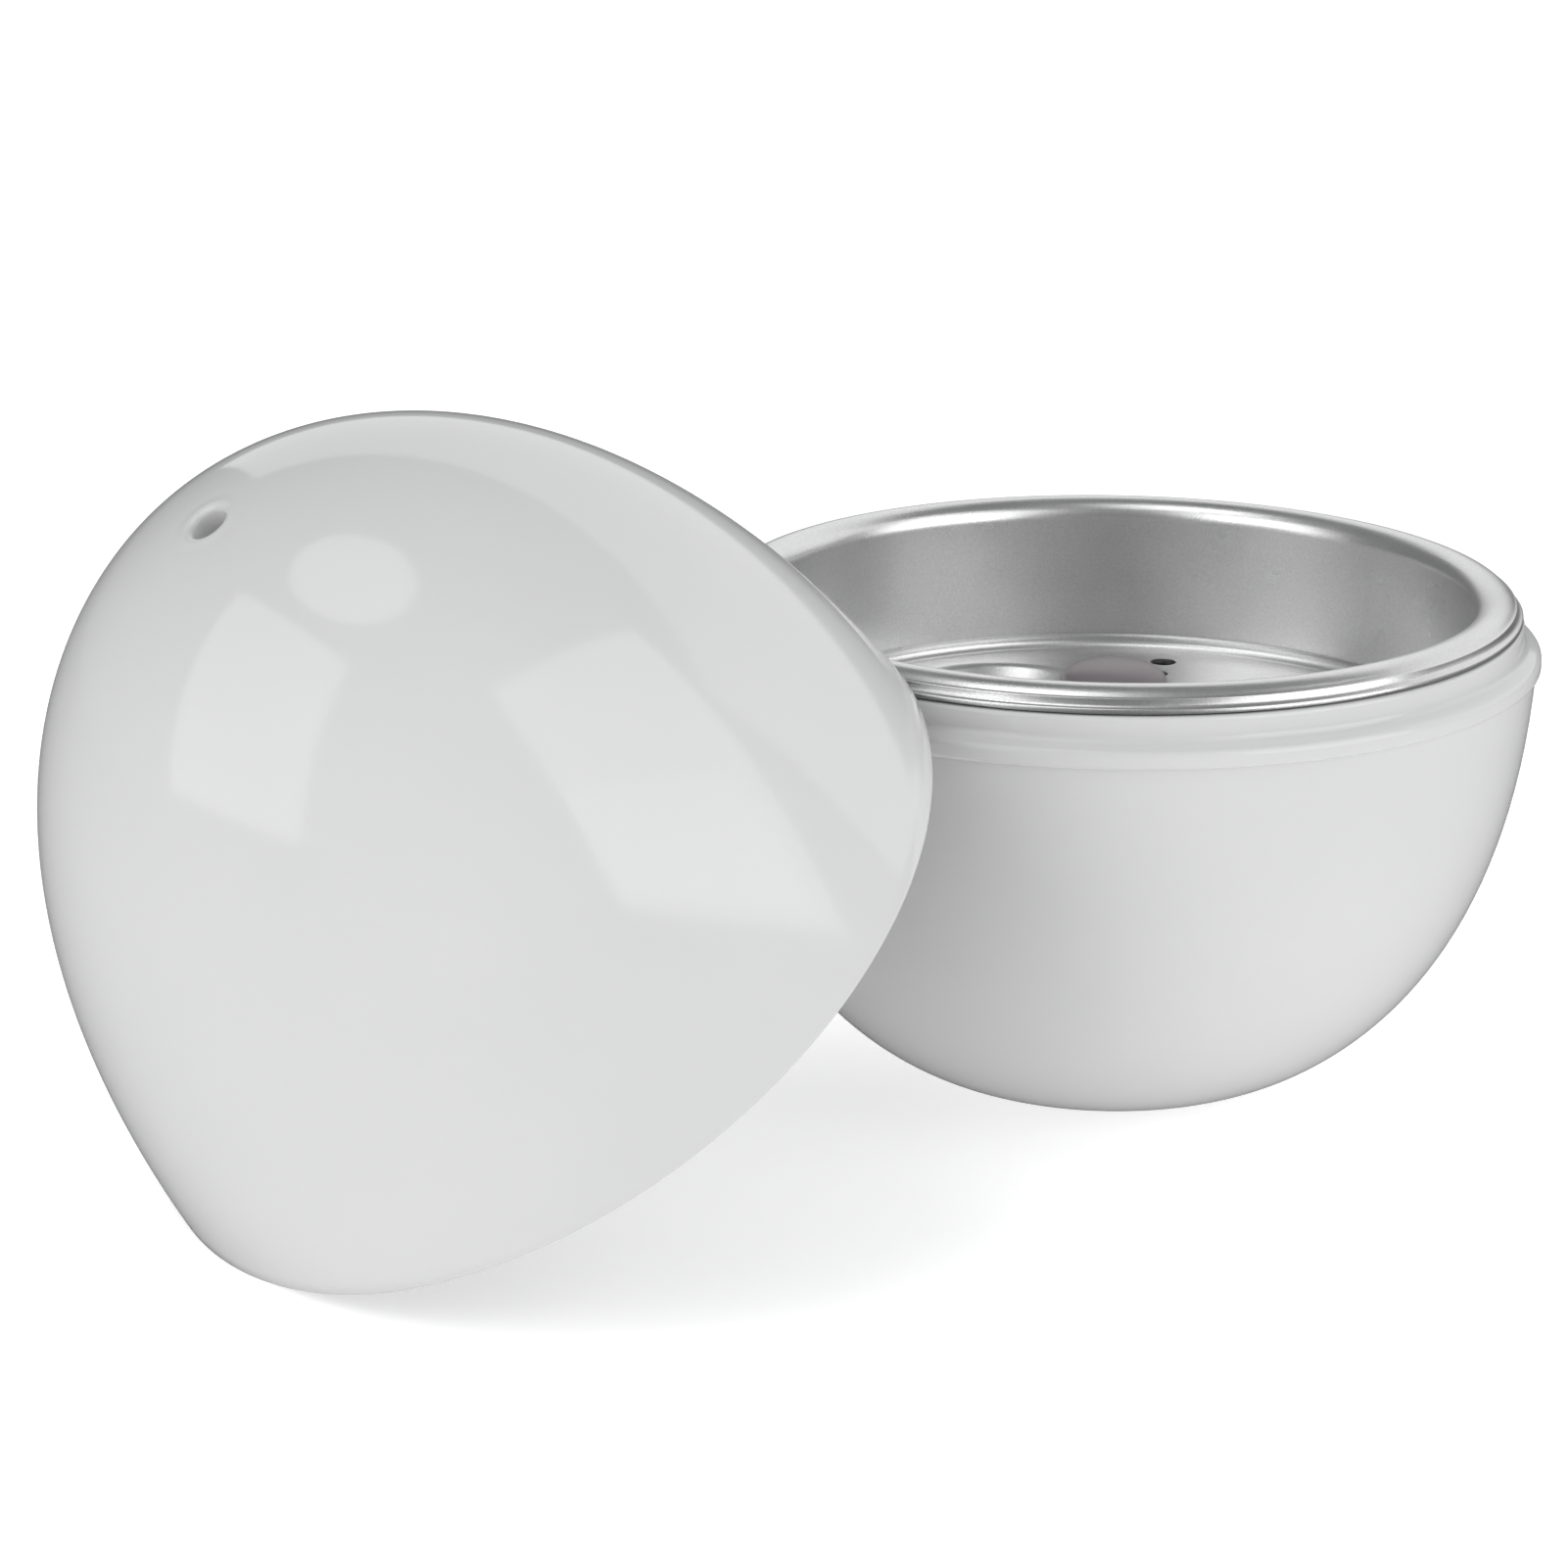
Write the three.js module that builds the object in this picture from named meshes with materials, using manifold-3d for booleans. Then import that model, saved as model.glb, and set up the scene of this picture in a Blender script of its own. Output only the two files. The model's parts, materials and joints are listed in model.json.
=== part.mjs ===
// Egg-shaped microwave egg cooker, open: a white bowl with an aluminium water pot and a
// four-egg tray in it, and the white lid, lined with aluminium, leaning on the pot's rim.
// Millimetres, +Z up. The origin is the middle of the bowl's flat foot, on the table.
import * as THREE from 'three';
import { mergeVertices } from 'three/addons/utils/BufferGeometryUtils.js';
import Module from 'manifold-3d';

const wasm = await Module();
wasm.setup();

// ---------------------------------------------------------------- driving dimensions
const SHELL_RADIUS = 70; // outside of the bowl's ledge and of the lid's rim
const SHELL_WALL = 2.2; // moulded plastic wall of both halves
const BOWL_HEIGHT = 74.3; // table to the ledge that the lid's rim sits on
const FOOT_RADIUS = 22.5; // flat foot under the bowl
const LID_HEIGHT = 95.4; // lid's rim to its top, as if it had no steam hole
const COLLAR_HEIGHT = 4.4; // collar above the ledge, which the lid's rim goes round
const COLLAR_WALL = 2.2;
const COLLAR_PLAY = 0.7; // between the collar and the inside of the lid's rim
const COLLAR_DEPTH = 8; // how far the collar's inside reaches below the ledge
const BOWL_FOOT_ROUND = 5; // how far out the curve runs on from the foot
const BOWL_BELLY_IN = 4.8; // the curve's upper handle, in from the ledge
const BOWL_BELLY = 9; // and above the table
const BOWL_NECK = 2.4; // end of the curve, under the ledge's top
const BEAD = 0.9; // the ledge's bead stands out this far from the wall
const LID_FLARE = 5.3; // the lid curve's lower handle, in from the rim
const LID_SHOULDER = 28.1; // and below the lid's top
const LID_CROWN = 29.7; // radius of the curve's upper handle

const POT_SHEET = 1.0; // aluminium of the water pot
const POT_AIR_GAP = 4.5; // between the bowl and the pot, at the bottom
const POT_SIDE_GAP = 5; // between the collar and the pot's upper wall
const POT_FLAT_IN = 6; // flat middle of the pot's bottom, smaller than the foot by this
const POT_BOTTOM_ROUND = 12; // how far out the curve runs on from that flat
const POT_BELLY = 8; // upper handle of the pot's curve, above its bottom
const CREST_RISE = 4.3; // pot's rounded rim above the collar's top
const CREST_ROUND = 3.6; // outside radius of that rounded rim
const LIP_PLAY = 0.3; // the pot's flat lip over the collar's top
const TRAY_DEPTH = 27; // rounded rim's top to the shoulder that carries the tray
const TRAY_SHOULDER = 1.8; // width of that shoulder
const LIP_IN = 0.3; // edge of the pot's lip, inside the collar's outside
const SHEET_BEND = 1.2; // bends pressed in the pot

const TRAY_SHEET = 0.8;
const TRAY_PLAY = 0.5; // round the tray, inside the pot
const TRAY_RIM = 3.2; // upturned edge of the tray
const TRAY_BEND = 1.6; // round between the tray and its edge
const WELL_MARGIN = 7.7; // flat sheet between an egg's place and the knob, or the edge
const WELL_DEPTH = 6.5;
const WELL_LIP = 0.4; // the dished sheet reaches past its mouth by this
const WELL_FLOOR = 0.8; // share of the mouth at which the dish's curve turns down
const WELL_DRAIN = 4.5; // radius of the hole under each egg
const WELL_BEARING = 32; // degrees from +X to the first egg
const STEAM_HOLE = 2.2; // radius of the steam holes between the eggs
const STEAM_FROM_EDGE = [9.4, 17.4]; // where they are, in from the tray's edge

const KNOB_RADIUS = 9;
const KNOB_WAIST = 5;
const KNOB_HEIGHT = 12.5;
const KNOB_NECK = 5.6; // height of the waist
const KNOB_CAP = 3; // round edge of the knob's top
const SCREW_RADIUS = 1.5;
const SCREW_HEAD = 3.6;
const SCREW_HEAD_HEIGHT = 1.8;
const SCREW_GRIP = 6; // length of the screw in the knob

const LINER_SHEET = 0.8;
const LINER_AIR_GAP = 5; // between the lid and its lining
const LINER_OVER_CREST = 1.4; // lining's flange above the pot's rim with the lid on
const LINER_PLAY = 0.5; // round the lining's flange, inside the lid
const LINER_VENT = 4; // radius of the lining's middle hole
const LINER_STEAM_HOLE = 2; // radius of the lining's steam holes
const LINER_STEAM_HOLES = 6;
const LINER_STEAM_CIRCLE = 16; // radius of the circle that they are on
const LINER_THROAT_IN = 1.9; // foot of the lining's dome, inside the pot's rim
const LINER_BEND = 1.6; // round between the flange and the dome
const VENT_RADIUS = 2.9; // steam hole at the top of the lid
const VENT_ROUND = 1.2; // rounding of that hole's edge
const VENT_SAG = 0.2; // the lid's top is lower by this at that edge
const VENT_TUBE = 6.4; // height of the tube that leads the steam out, inside the lid
const VENT_TUBE_WALL = 1.6;
const CLIP_COUNT = 6; // moulded clips that hold the lining in the lid
const CLIP_WIDTH = 9;
const CLIP_REACH = 1.6;
const CLIP_HEIGHT = 1.6;
const CLIP_ROOT = 1.2; // part of a clip that is inside the lid's wall

const LID_BEARING = 217.1; // degrees from +X, bowl to lid
const LID_HEADING = 215.3; // degrees from +X, the way the leaning lid's top points
const LID_TIP_RISE = 1.4; // high inner edge of the leaning lid above the pot's rim
const EDGE_BREAK = 0.5; // broken edges of the lid's rim
const TOUCH = 0.3; // gap left between pieces that rest on each other

const ROUND = 40; // facets round the large pieces
const ROUND_SMALL = 16;

// ---------------------------------------------------------------- worked out from them
const RIM_INSIDE = SHELL_RADIUS - SHELL_WALL;
const COLLAR_RADIUS = RIM_INSIDE - COLLAR_PLAY;
const COLLAR_TOP = BOWL_HEIGHT + COLLAR_HEIGHT;
const COLLAR_INSIDE = COLLAR_RADIUS - COLLAR_WALL;
const POT_RADIUS = COLLAR_INSIDE - POT_SHEET - POT_SIDE_GAP; // inside, at its mouth
const CREST_Z = COLLAR_TOP + CREST_RISE;
const CREST_RADIUS = POT_RADIUS + CREST_ROUND;
const SHOULDER_Z = CREST_Z - TRAY_DEPTH;
const TRAY_Z = SHOULDER_Z + TOUCH;
const TRAY_RADIUS = POT_RADIUS - TRAY_PLAY;
const TRAY_TOP = TRAY_Z + TRAY_SHEET;
const WELL_CIRCLE = (TRAY_RADIUS + KNOB_RADIUS) / 2; // middle of the tray to an egg's
const WELL_RADIUS = (TRAY_RADIUS - KNOB_RADIUS) / 2 - WELL_MARGIN; // mouth of its place
const HOLE = SCREW_RADIUS + TOUCH; // round the screw, in the tray and the knob
const LINER_EDGE = CREST_Z - BOWL_HEIGHT + LINER_OVER_CREST; // above the lid's rim

// ---------------------------------------------------------------- shape helpers
/** Points along a path, as [radius, height] pairs turned into vectors. */
const pointsOf = (path, steps) => path.getPoints(steps);

/** The points moved sideways by distance, to the right of the way they run. */
function offset(points, distance) {
  return points.map((point, i) => {
    const before = points[Math.max(i - 1, 0)];
    const after = points[Math.min(i + 1, points.length - 1)];
    const along = new THREE.Vector2().subVectors(after, before).normalize();
    return new THREE.Vector2(point.x + along.y * distance, point.y - along.x * distance);
  });
}

/** A body of revolution about Z from a closed outline of radius and height. */
function turned(outline, facets = ROUND) {
  const closed = [...outline];
  const onAxis = (p) => Math.abs(p.x) < 1e-9;
  if (!onAxis(closed[0]) || !onAxis(closed[closed.length - 1])) closed.push(closed[0].clone());
  const geometry = new THREE.LatheGeometry(closed, facets);
  return geometry.rotateX(Math.PI / 2);
}

/** three.js geometry to a solid that can be joined and cut. */
function solid(geometry) {
  const bare = geometry.clone();
  bare.deleteAttribute('normal');
  bare.deleteAttribute('uv');
  const merged = mergeVertices(bare, 1e-4);
  const corners = [...merged.index.array];
  const kept = [];
  for (let i = 0; i < corners.length; i += 3) {
    const [a, b, c] = corners.slice(i, i + 3);
    if (a !== b && b !== c && a !== c) kept.push(a, b, c);
  }
  return new wasm.Manifold(new wasm.Mesh({
    numProp: 3,
    vertProperties: new Float32Array(merged.attributes.position.array),
    triVerts: new Uint32Array(kept),
  }));
}

/** A joined or cut solid back to three.js geometry. */
function geometryOf(shape) {
  const made = shape.getMesh();
  const geometry = new THREE.BufferGeometry();
  geometry.setAttribute('position', new THREE.BufferAttribute(made.vertProperties, 3));
  geometry.setIndex(new THREE.BufferAttribute(made.triVerts, 1));
  geometry.computeVertexNormals();
  return geometry;
}

/** An upright round cutter between two heights. */
function upright(radius, low, high, facets = ROUND_SMALL) {
  const made = new THREE.CylinderGeometry(radius, radius, high - low, facets);
  return made.rotateX(Math.PI / 2).translate(0, 0, (low + high) / 2);
}

/** Places geometry at a distance and bearing in degrees from the Z axis. */
function around(geometry, distance, degrees) {
  const angle = THREE.MathUtils.degToRad(degrees);
  return geometry.clone().rotateZ(angle)
    .translate(distance * Math.cos(angle), distance * Math.sin(angle), 0);
}

const plastic = (colour) => new THREE.MeshStandardMaterial({ color: colour, roughness: 0.22 });
const metal = (roughness) => new THREE.MeshStandardMaterial({
  color: 0xc9cacc, roughness, metalness: 1,
});

function mesh(name, geometry, material) {
  const made = new THREE.Mesh(geometry, material);
  made.name = name;
  return made;
}

// ---------------------------------------------------------------- bowl
/** Outside of the bowl, from the edge of its foot up to under its ledge. */
function bowlCurve() {
  const path = new THREE.Path();
  path.moveTo(FOOT_RADIUS, 0);
  path.bezierCurveTo(
    FOOT_RADIUS + BOWL_FOOT_ROUND, 0,
    SHELL_RADIUS - BOWL_BELLY_IN, BOWL_BELLY,
    SHELL_RADIUS - BEAD, BOWL_HEIGHT - BOWL_NECK,
  );
  return pointsOf(path, 9);
}

function bowlShell() {
  const outside = bowlCurve();
  const inside = offset(outside, -SHELL_WALL).slice(0, -2).reverse();
  const ledge = new THREE.Path();
  ledge.moveTo(SHELL_RADIUS, BOWL_HEIGHT - 2 * BEAD);
  ledge.lineTo(SHELL_RADIUS, BOWL_HEIGHT - BEAD);
  ledge.quadraticCurveTo(SHELL_RADIUS, BOWL_HEIGHT, SHELL_RADIUS - BEAD, BOWL_HEIGHT);
  ledge.lineTo(COLLAR_RADIUS + BEAD, BOWL_HEIGHT);
  ledge.quadraticCurveTo(COLLAR_RADIUS, BOWL_HEIGHT, COLLAR_RADIUS, BOWL_HEIGHT + BEAD);
  ledge.lineTo(COLLAR_RADIUS, COLLAR_TOP - EDGE_BREAK);
  ledge.lineTo(COLLAR_RADIUS - EDGE_BREAK, COLLAR_TOP);
  ledge.lineTo(COLLAR_INSIDE, COLLAR_TOP);
  const outline = [
    new THREE.Vector2(0, 0),
    ...outside,
    ...pointsOf(ledge, 2),
    new THREE.Vector2(COLLAR_INSIDE, BOWL_HEIGHT - COLLAR_DEPTH),
    ...inside,
    new THREE.Vector2(0, SHELL_WALL),
  ];
  return mesh('bowl_shell', turned(outline), plastic(0xe6e6e5));
}

// ---------------------------------------------------------------- water pot
/** Inside of the pot, from its middle out, up the wall and over the rounded rim. */
function potCurve() {
  const bottom = SHELL_WALL + POT_AIR_GAP + POT_SHEET;
  const below = POT_RADIUS - TRAY_SHOULDER;
  const crestMiddle = CREST_Z - CREST_ROUND;
  const lipTop = COLLAR_TOP + LIP_PLAY + POT_SHEET;
  const flat = FOOT_RADIUS - POT_FLAT_IN;
  const slopeEnd = Math.asin((lipTop + SHEET_BEND / 2 - crestMiddle) / CREST_ROUND);
  const path = new THREE.Path();
  path.moveTo(0, bottom);
  path.lineTo(flat, bottom);
  path.bezierCurveTo(
    flat + POT_BOTTOM_ROUND, bottom,
    below - SHEET_BEND, bottom + POT_BELLY,
    below, SHOULDER_Z - SHEET_BEND,
  );
  path.quadraticCurveTo(below, SHOULDER_Z, below + SHEET_BEND / 2, SHOULDER_Z);
  path.lineTo(POT_RADIUS - SHEET_BEND / 2, SHOULDER_Z);
  path.quadraticCurveTo(POT_RADIUS, SHOULDER_Z, POT_RADIUS, SHOULDER_Z + SHEET_BEND);
  path.lineTo(POT_RADIUS, crestMiddle);
  path.absarc(CREST_RADIUS, crestMiddle, CREST_ROUND, Math.PI, slopeEnd, true);
  path.lineTo(COLLAR_RADIUS - LIP_IN, lipTop);
  return path;
}

/** Thins out points that are closer together than least. */
function spaced(points, least) {
  const kept = [points[0]];
  for (const point of points) {
    if (point.distanceTo(kept[kept.length - 1]) >= least) kept.push(point);
  }
  return kept;
}

function innerPot() {
  const inside = spaced(pointsOf(potCurve(), 5), 0.5);
  const outside = offset(inside, POT_SHEET).reverse();
  outside[outside.length - 1].x = 0;
  return mesh('inner_pot', turned([...inside, ...outside].reverse()), metal(0.32));
}

// ---------------------------------------------------------------- egg tray
/** One dished place for an egg, with a drain hole, about its own Z axis. */
function eggWell() {
  const path = new THREE.Path();
  path.moveTo(WELL_DRAIN, TRAY_TOP - WELL_DEPTH);
  path.quadraticCurveTo(
    WELL_RADIUS * WELL_FLOOR, TRAY_TOP - WELL_DEPTH,
    WELL_RADIUS + WELL_LIP, TRAY_TOP,
  );
  const top = pointsOf(path, 4);
  const under = offset(top, TRAY_SHEET);
  return turned([...under, ...top.reverse()], ROUND_SMALL);
}

function eggTray() {
  const inner = TRAY_RADIUS - TRAY_SHEET;
  const edge = new THREE.Path();
  edge.moveTo(0, TRAY_Z);
  edge.lineTo(TRAY_RADIUS - TRAY_BEND, TRAY_Z);
  edge.quadraticCurveTo(TRAY_RADIUS, TRAY_Z, TRAY_RADIUS, TRAY_Z + TRAY_BEND);
  edge.lineTo(TRAY_RADIUS, TRAY_TOP + TRAY_RIM);
  edge.lineTo(inner, TRAY_TOP + TRAY_RIM);
  edge.lineTo(inner, TRAY_Z + TRAY_BEND);
  edge.quadraticCurveTo(inner, TRAY_TOP, TRAY_RADIUS - TRAY_BEND, TRAY_TOP);
  edge.lineTo(0, TRAY_TOP);
  let tray = solid(turned(pointsOf(edge, 2)));
  const mouth = upright(WELL_RADIUS, TRAY_Z - 1, TRAY_TOP + 1);
  const vent = upright(STEAM_HOLE, TRAY_Z - 1, TRAY_TOP + 1, 12);
  for (let i = 0; i < 4; i += 1) {
    const bearing = WELL_BEARING + 90 * i;
    tray = tray.subtract(solid(around(mouth, WELL_CIRCLE, bearing)));
    tray = tray.add(solid(around(eggWell(), WELL_CIRCLE, bearing)));
    for (const inwards of STEAM_FROM_EDGE) {
      tray = tray.subtract(solid(around(vent, TRAY_RADIUS - inwards, bearing + 45)));
    }
  }
  tray = tray.subtract(solid(upright(HOLE, TRAY_Z - 1, TRAY_TOP + 1, 12)));
  return mesh('egg_tray', geometryOf(tray), metal(0.36));
}

/** Lifting knob in the middle of the tray, with a blind hole for its screw. */
function trayKnob() {
  const low = TRAY_TOP + TOUCH;
  const top = low + KNOB_HEIGHT;
  const grip = low + SCREW_GRIP + TOUCH;
  const path = new THREE.Path();
  path.moveTo(0, grip);
  path.lineTo(HOLE, grip);
  path.lineTo(HOLE, low);
  path.lineTo(KNOB_RADIUS - EDGE_BREAK, low);
  path.quadraticCurveTo(KNOB_WAIST, low, KNOB_WAIST, low + KNOB_NECK);
  path.quadraticCurveTo(KNOB_RADIUS, low + KNOB_NECK, KNOB_RADIUS, top - KNOB_CAP);
  path.quadraticCurveTo(KNOB_RADIUS, top, KNOB_WAIST, top);
  path.lineTo(0, top);
  return mesh('tray_knob', turned(pointsOf(path, 4), ROUND_SMALL), plastic(0xb9b3b8));
}

/** Screw that holds the knob, from under the tray. */
function knobScrew() {
  const seat = TRAY_Z - TOUCH;
  const end = TRAY_TOP + TOUCH + SCREW_GRIP;
  const low = seat - SCREW_HEAD_HEIGHT;
  const outline = [
    [0, low], [SCREW_HEAD - 2 * EDGE_BREAK, low], [SCREW_HEAD, low + 2 * EDGE_BREAK],
    [SCREW_HEAD, seat], [SCREW_RADIUS, seat], [SCREW_RADIUS, end - EDGE_BREAK],
    [SCREW_RADIUS - EDGE_BREAK, end], [0, end],
  ].map(([x, y]) => new THREE.Vector2(x, y));
  return mesh('knob_screw', turned(outline, ROUND_SMALL), metal(0.3));
}

// ---------------------------------------------------------------- lid, upright on its rim
/** Outside of the lid, from its rim up to the edge of its steam hole. */
function lidCurve() {
  const path = new THREE.Path();
  path.moveTo(SHELL_RADIUS, EDGE_BREAK);
  path.bezierCurveTo(
    SHELL_RADIUS - LID_FLARE, LID_HEIGHT - LID_SHOULDER,
    LID_CROWN, LID_HEIGHT,
    0, LID_HEIGHT,
  );
  const edge = new THREE.Vector2(VENT_RADIUS + VENT_ROUND, LID_HEIGHT - VENT_SAG);
  return [...pointsOf(path, 11).filter((p) => p.x > edge.x + 1), edge];
}

/** Inside radius of the lid's wall at a height above its rim. */
function lidInsideAt(height) {
  const inside = offset(lidCurve(), -SHELL_WALL);
  const above = inside.findIndex((p) => p.y > height);
  const [a, b] = [inside[above - 1], inside[above]];
  return a.x + ((b.x - a.x) * (height - a.y)) / (b.y - a.y);
}

function lidShell() {
  const outside = lidCurve();
  const inside = offset(outside, -SHELL_WALL).slice(1, -1).reverse();
  const skirt = COLLAR_HEIGHT + EDGE_BREAK;
  const outline = [
    new THREE.Vector2(RIM_INSIDE + EDGE_BREAK, 0),
    new THREE.Vector2(SHELL_RADIUS - EDGE_BREAK, 0),
    ...outside,
    new THREE.Vector2(VENT_RADIUS, LID_HEIGHT - VENT_SAG - EDGE_BREAK),
    new THREE.Vector2(VENT_RADIUS, LID_HEIGHT - VENT_TUBE),
    new THREE.Vector2(VENT_RADIUS + VENT_TUBE_WALL, LID_HEIGHT - VENT_TUBE),
    new THREE.Vector2(VENT_RADIUS + VENT_TUBE_WALL, LID_HEIGHT - VENT_SAG - SHELL_WALL),
    ...inside.filter((p) => p.y > 2 * skirt && p.x > VENT_RADIUS + VENT_TUBE_WALL),
    new THREE.Vector2(RIM_INSIDE, skirt),
    new THREE.Vector2(RIM_INSIDE, EDGE_BREAK),
  ];
  let shell = solid(turned(outline));
  const clip = new THREE.BoxGeometry(CLIP_REACH + CLIP_ROOT, CLIP_WIDTH, CLIP_HEIGHT);
  const reach = lidInsideAt(LINER_EDGE) + (CLIP_ROOT - CLIP_REACH) / 2;
  const under = LINER_EDGE - TOUCH - CLIP_HEIGHT / 2;
  const above = LINER_EDGE + LINER_SHEET + TOUCH + CLIP_HEIGHT / 2;
  for (let i = 0; i < CLIP_COUNT; i += 1) {
    const turn = (360 / CLIP_COUNT) * i;
    shell = shell.add(solid(around(clip.clone().translate(0, 0, under), reach, turn)));
    const step = turn + 180 / CLIP_COUNT;
    shell = shell.add(solid(around(clip.clone().translate(0, 0, above), reach, step)));
  }
  return mesh('lid_shell', geometryOf(shell), plastic(0xe9e9e8));
}

/** Aluminium lining: a flange that the clips hold, and a dome inside the lid. */
function lidLiner() {
  const drop = SHELL_WALL + LINER_AIR_GAP;
  const top = LID_HEIGHT - drop - LINER_SHEET;
  const throat = CREST_RADIUS - LINER_THROAT_IN;
  const path = new THREE.Path();
  path.moveTo(lidInsideAt(LINER_EDGE + LINER_SHEET) - LINER_PLAY, LINER_EDGE);
  path.lineTo(throat + LINER_BEND, LINER_EDGE);
  path.quadraticCurveTo(throat, LINER_EDGE, throat, LINER_EDGE + LINER_BEND);
  path.bezierCurveTo(
    SHELL_RADIUS - LID_FLARE - drop, LID_HEIGHT - LID_SHOULDER - drop / 2,
    LID_CROWN, top,
    LINER_VENT, top,
  );
  const inside = spaced(pointsOf(path, 7), 0.5);
  const outside = offset(inside, LINER_SHEET).reverse();
  let liner = solid(turned([...inside, ...outside].reverse()));
  const hole = upright(LINER_STEAM_HOLE, LID_HEIGHT / 2, LID_HEIGHT, 12);
  for (let i = 0; i < LINER_STEAM_HOLES; i += 1) {
    const turn = (360 / LINER_STEAM_HOLES) * i;
    liner = liner.subtract(solid(around(hole, LINER_STEAM_CIRCLE, turn)));
  }
  return mesh('lid_liner', geometryOf(liner), metal(0.34));
}

// ---------------------------------------------------------------- the lid's place
/** Height of the middle of the lid's rim, with its low edge on the table. */
const rimMiddleHeight = (lean) => (SHELL_RADIUS - EDGE_BREAK) * Math.sin(lean);

/** Smallest gap between the leaning lid's rim and the pot's rounded rim. */
function rimGap(distance, lean) {
  const bearing = THREE.MathUtils.degToRad(LID_BEARING);
  const heading = THREE.MathUtils.degToRad(LID_HEADING);
  const crestMiddle = CREST_Z - CREST_ROUND;
  const middle = new THREE.Vector3(
    distance * Math.cos(bearing),
    distance * Math.sin(bearing),
    rimMiddleHeight(lean),
  );
  const side = new THREE.Vector3(Math.sin(heading), -Math.cos(heading), 0);
  const up = new THREE.Vector3(
    -Math.cos(heading) * Math.cos(lean),
    -Math.sin(heading) * Math.cos(lean),
    Math.sin(lean),
  );
  let least = Infinity;
  for (let degrees = -50; degrees <= 50; degrees += 0.5) {
    const angle = THREE.MathUtils.degToRad(degrees);
    const edge = middle.clone()
      .addScaledVector(up, RIM_INSIDE * Math.cos(angle))
      .addScaledVector(side, RIM_INSIDE * Math.sin(angle));
    const across = Math.hypot(edge.x, edge.y) - CREST_RADIUS;
    least = Math.min(least, Math.hypot(across, edge.z - crestMiddle) - CREST_ROUND);
  }
  return least;
}

/** Distance from the bowl's axis at which the leaning rim just rests on the pot's rim. */
function restingDistance(lean) {
  let near = SHELL_RADIUS;
  let far = 3 * SHELL_RADIUS;
  for (let i = 0; i < 40; i += 1) {
    const middle = (near + far) / 2;
    const touching = rimGap(middle, lean) < TOUCH + 0.1;
    if (touching) near = middle;
    else far = middle;
  }
  return far;
}

function leaningLid() {
  const lean = Math.asin((CREST_Z + LID_TIP_RISE) / (2 * SHELL_RADIUS - SHELL_WALL));
  const distance = restingDistance(lean);
  const bearing = THREE.MathUtils.degToRad(LID_BEARING);
  const heading = THREE.MathUtils.degToRad(LID_HEADING);
  const lid = new THREE.Group();
  lid.add(lidShell(), lidLiner());
  lid.position.set(
    distance * Math.cos(bearing),
    distance * Math.sin(bearing),
    rimMiddleHeight(lean),
  );
  lid.rotation.set(0, lean, heading, 'ZYX');
  return lid;
}

const group = new THREE.Group();
group.add(bowlShell(), innerPot(), eggTray(), trayKnob(), knobScrew(), leaningLid());

export default group;
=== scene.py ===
"""Looks of the egg-shaped microwave egg cooker: a white bowl with an aluminium water pot and
egg tray in it, and the white lid with its aluminium lining, leaning on the pot's rim."""
import json
import math
import bpy
from mathutils import Matrix, Vector
from mathutils.geometry import interpolate_bezier


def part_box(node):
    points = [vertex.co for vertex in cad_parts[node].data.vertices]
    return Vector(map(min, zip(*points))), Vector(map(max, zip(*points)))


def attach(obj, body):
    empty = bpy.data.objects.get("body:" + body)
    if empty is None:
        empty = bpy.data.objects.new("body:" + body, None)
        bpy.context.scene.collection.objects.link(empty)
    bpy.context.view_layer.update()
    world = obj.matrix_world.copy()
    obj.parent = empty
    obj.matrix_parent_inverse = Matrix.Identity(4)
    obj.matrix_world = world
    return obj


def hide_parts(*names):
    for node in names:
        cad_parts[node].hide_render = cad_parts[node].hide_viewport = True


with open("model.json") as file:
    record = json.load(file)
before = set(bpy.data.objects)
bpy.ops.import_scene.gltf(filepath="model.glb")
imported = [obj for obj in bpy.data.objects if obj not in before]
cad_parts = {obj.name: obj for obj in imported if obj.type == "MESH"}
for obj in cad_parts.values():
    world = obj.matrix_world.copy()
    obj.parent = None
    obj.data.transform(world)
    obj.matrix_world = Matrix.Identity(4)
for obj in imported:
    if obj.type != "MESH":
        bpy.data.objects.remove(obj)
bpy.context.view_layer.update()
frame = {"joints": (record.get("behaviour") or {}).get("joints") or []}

# ------------------------------------------------------------------ sizes, in metres
_, BOWL_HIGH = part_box("bowl_shell")
POT_LOW, POT_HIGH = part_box("inner_pot")
_, TRAY_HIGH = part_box("egg_tray")
KNOB_LOW, KNOB_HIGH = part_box("tray_knob")
SCREW_LOW, SCREW_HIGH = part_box("knob_screw")

TOUCH = 0.0003  # left between pieces that rest on each other

SHELL_RADIUS = BOWL_HIGH.x
SHELL_WALL = 0.0022
LEDGE_Z = 0.0743
COLLAR_TOP = BOWL_HIGH.z + 0.0002  # almost touching the pot's lip
FOOT_RADIUS = 0.0225
LID_HEIGHT = 0.0954  # to its top, as if it had no steam hole
LID_FLARE = 0.0053
LID_SHOULDER = 0.0281
LID_CROWN = 0.0297
COLLAR_PLAY = 0.0007
COLLAR_WALL = 0.0022
COLLAR_DEPTH = 0.008
RIM_INSIDE = SHELL_RADIUS - SHELL_WALL
COLLAR_RADIUS = RIM_INSIDE - COLLAR_PLAY
COLLAR_INSIDE = COLLAR_RADIUS - COLLAR_WALL

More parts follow.
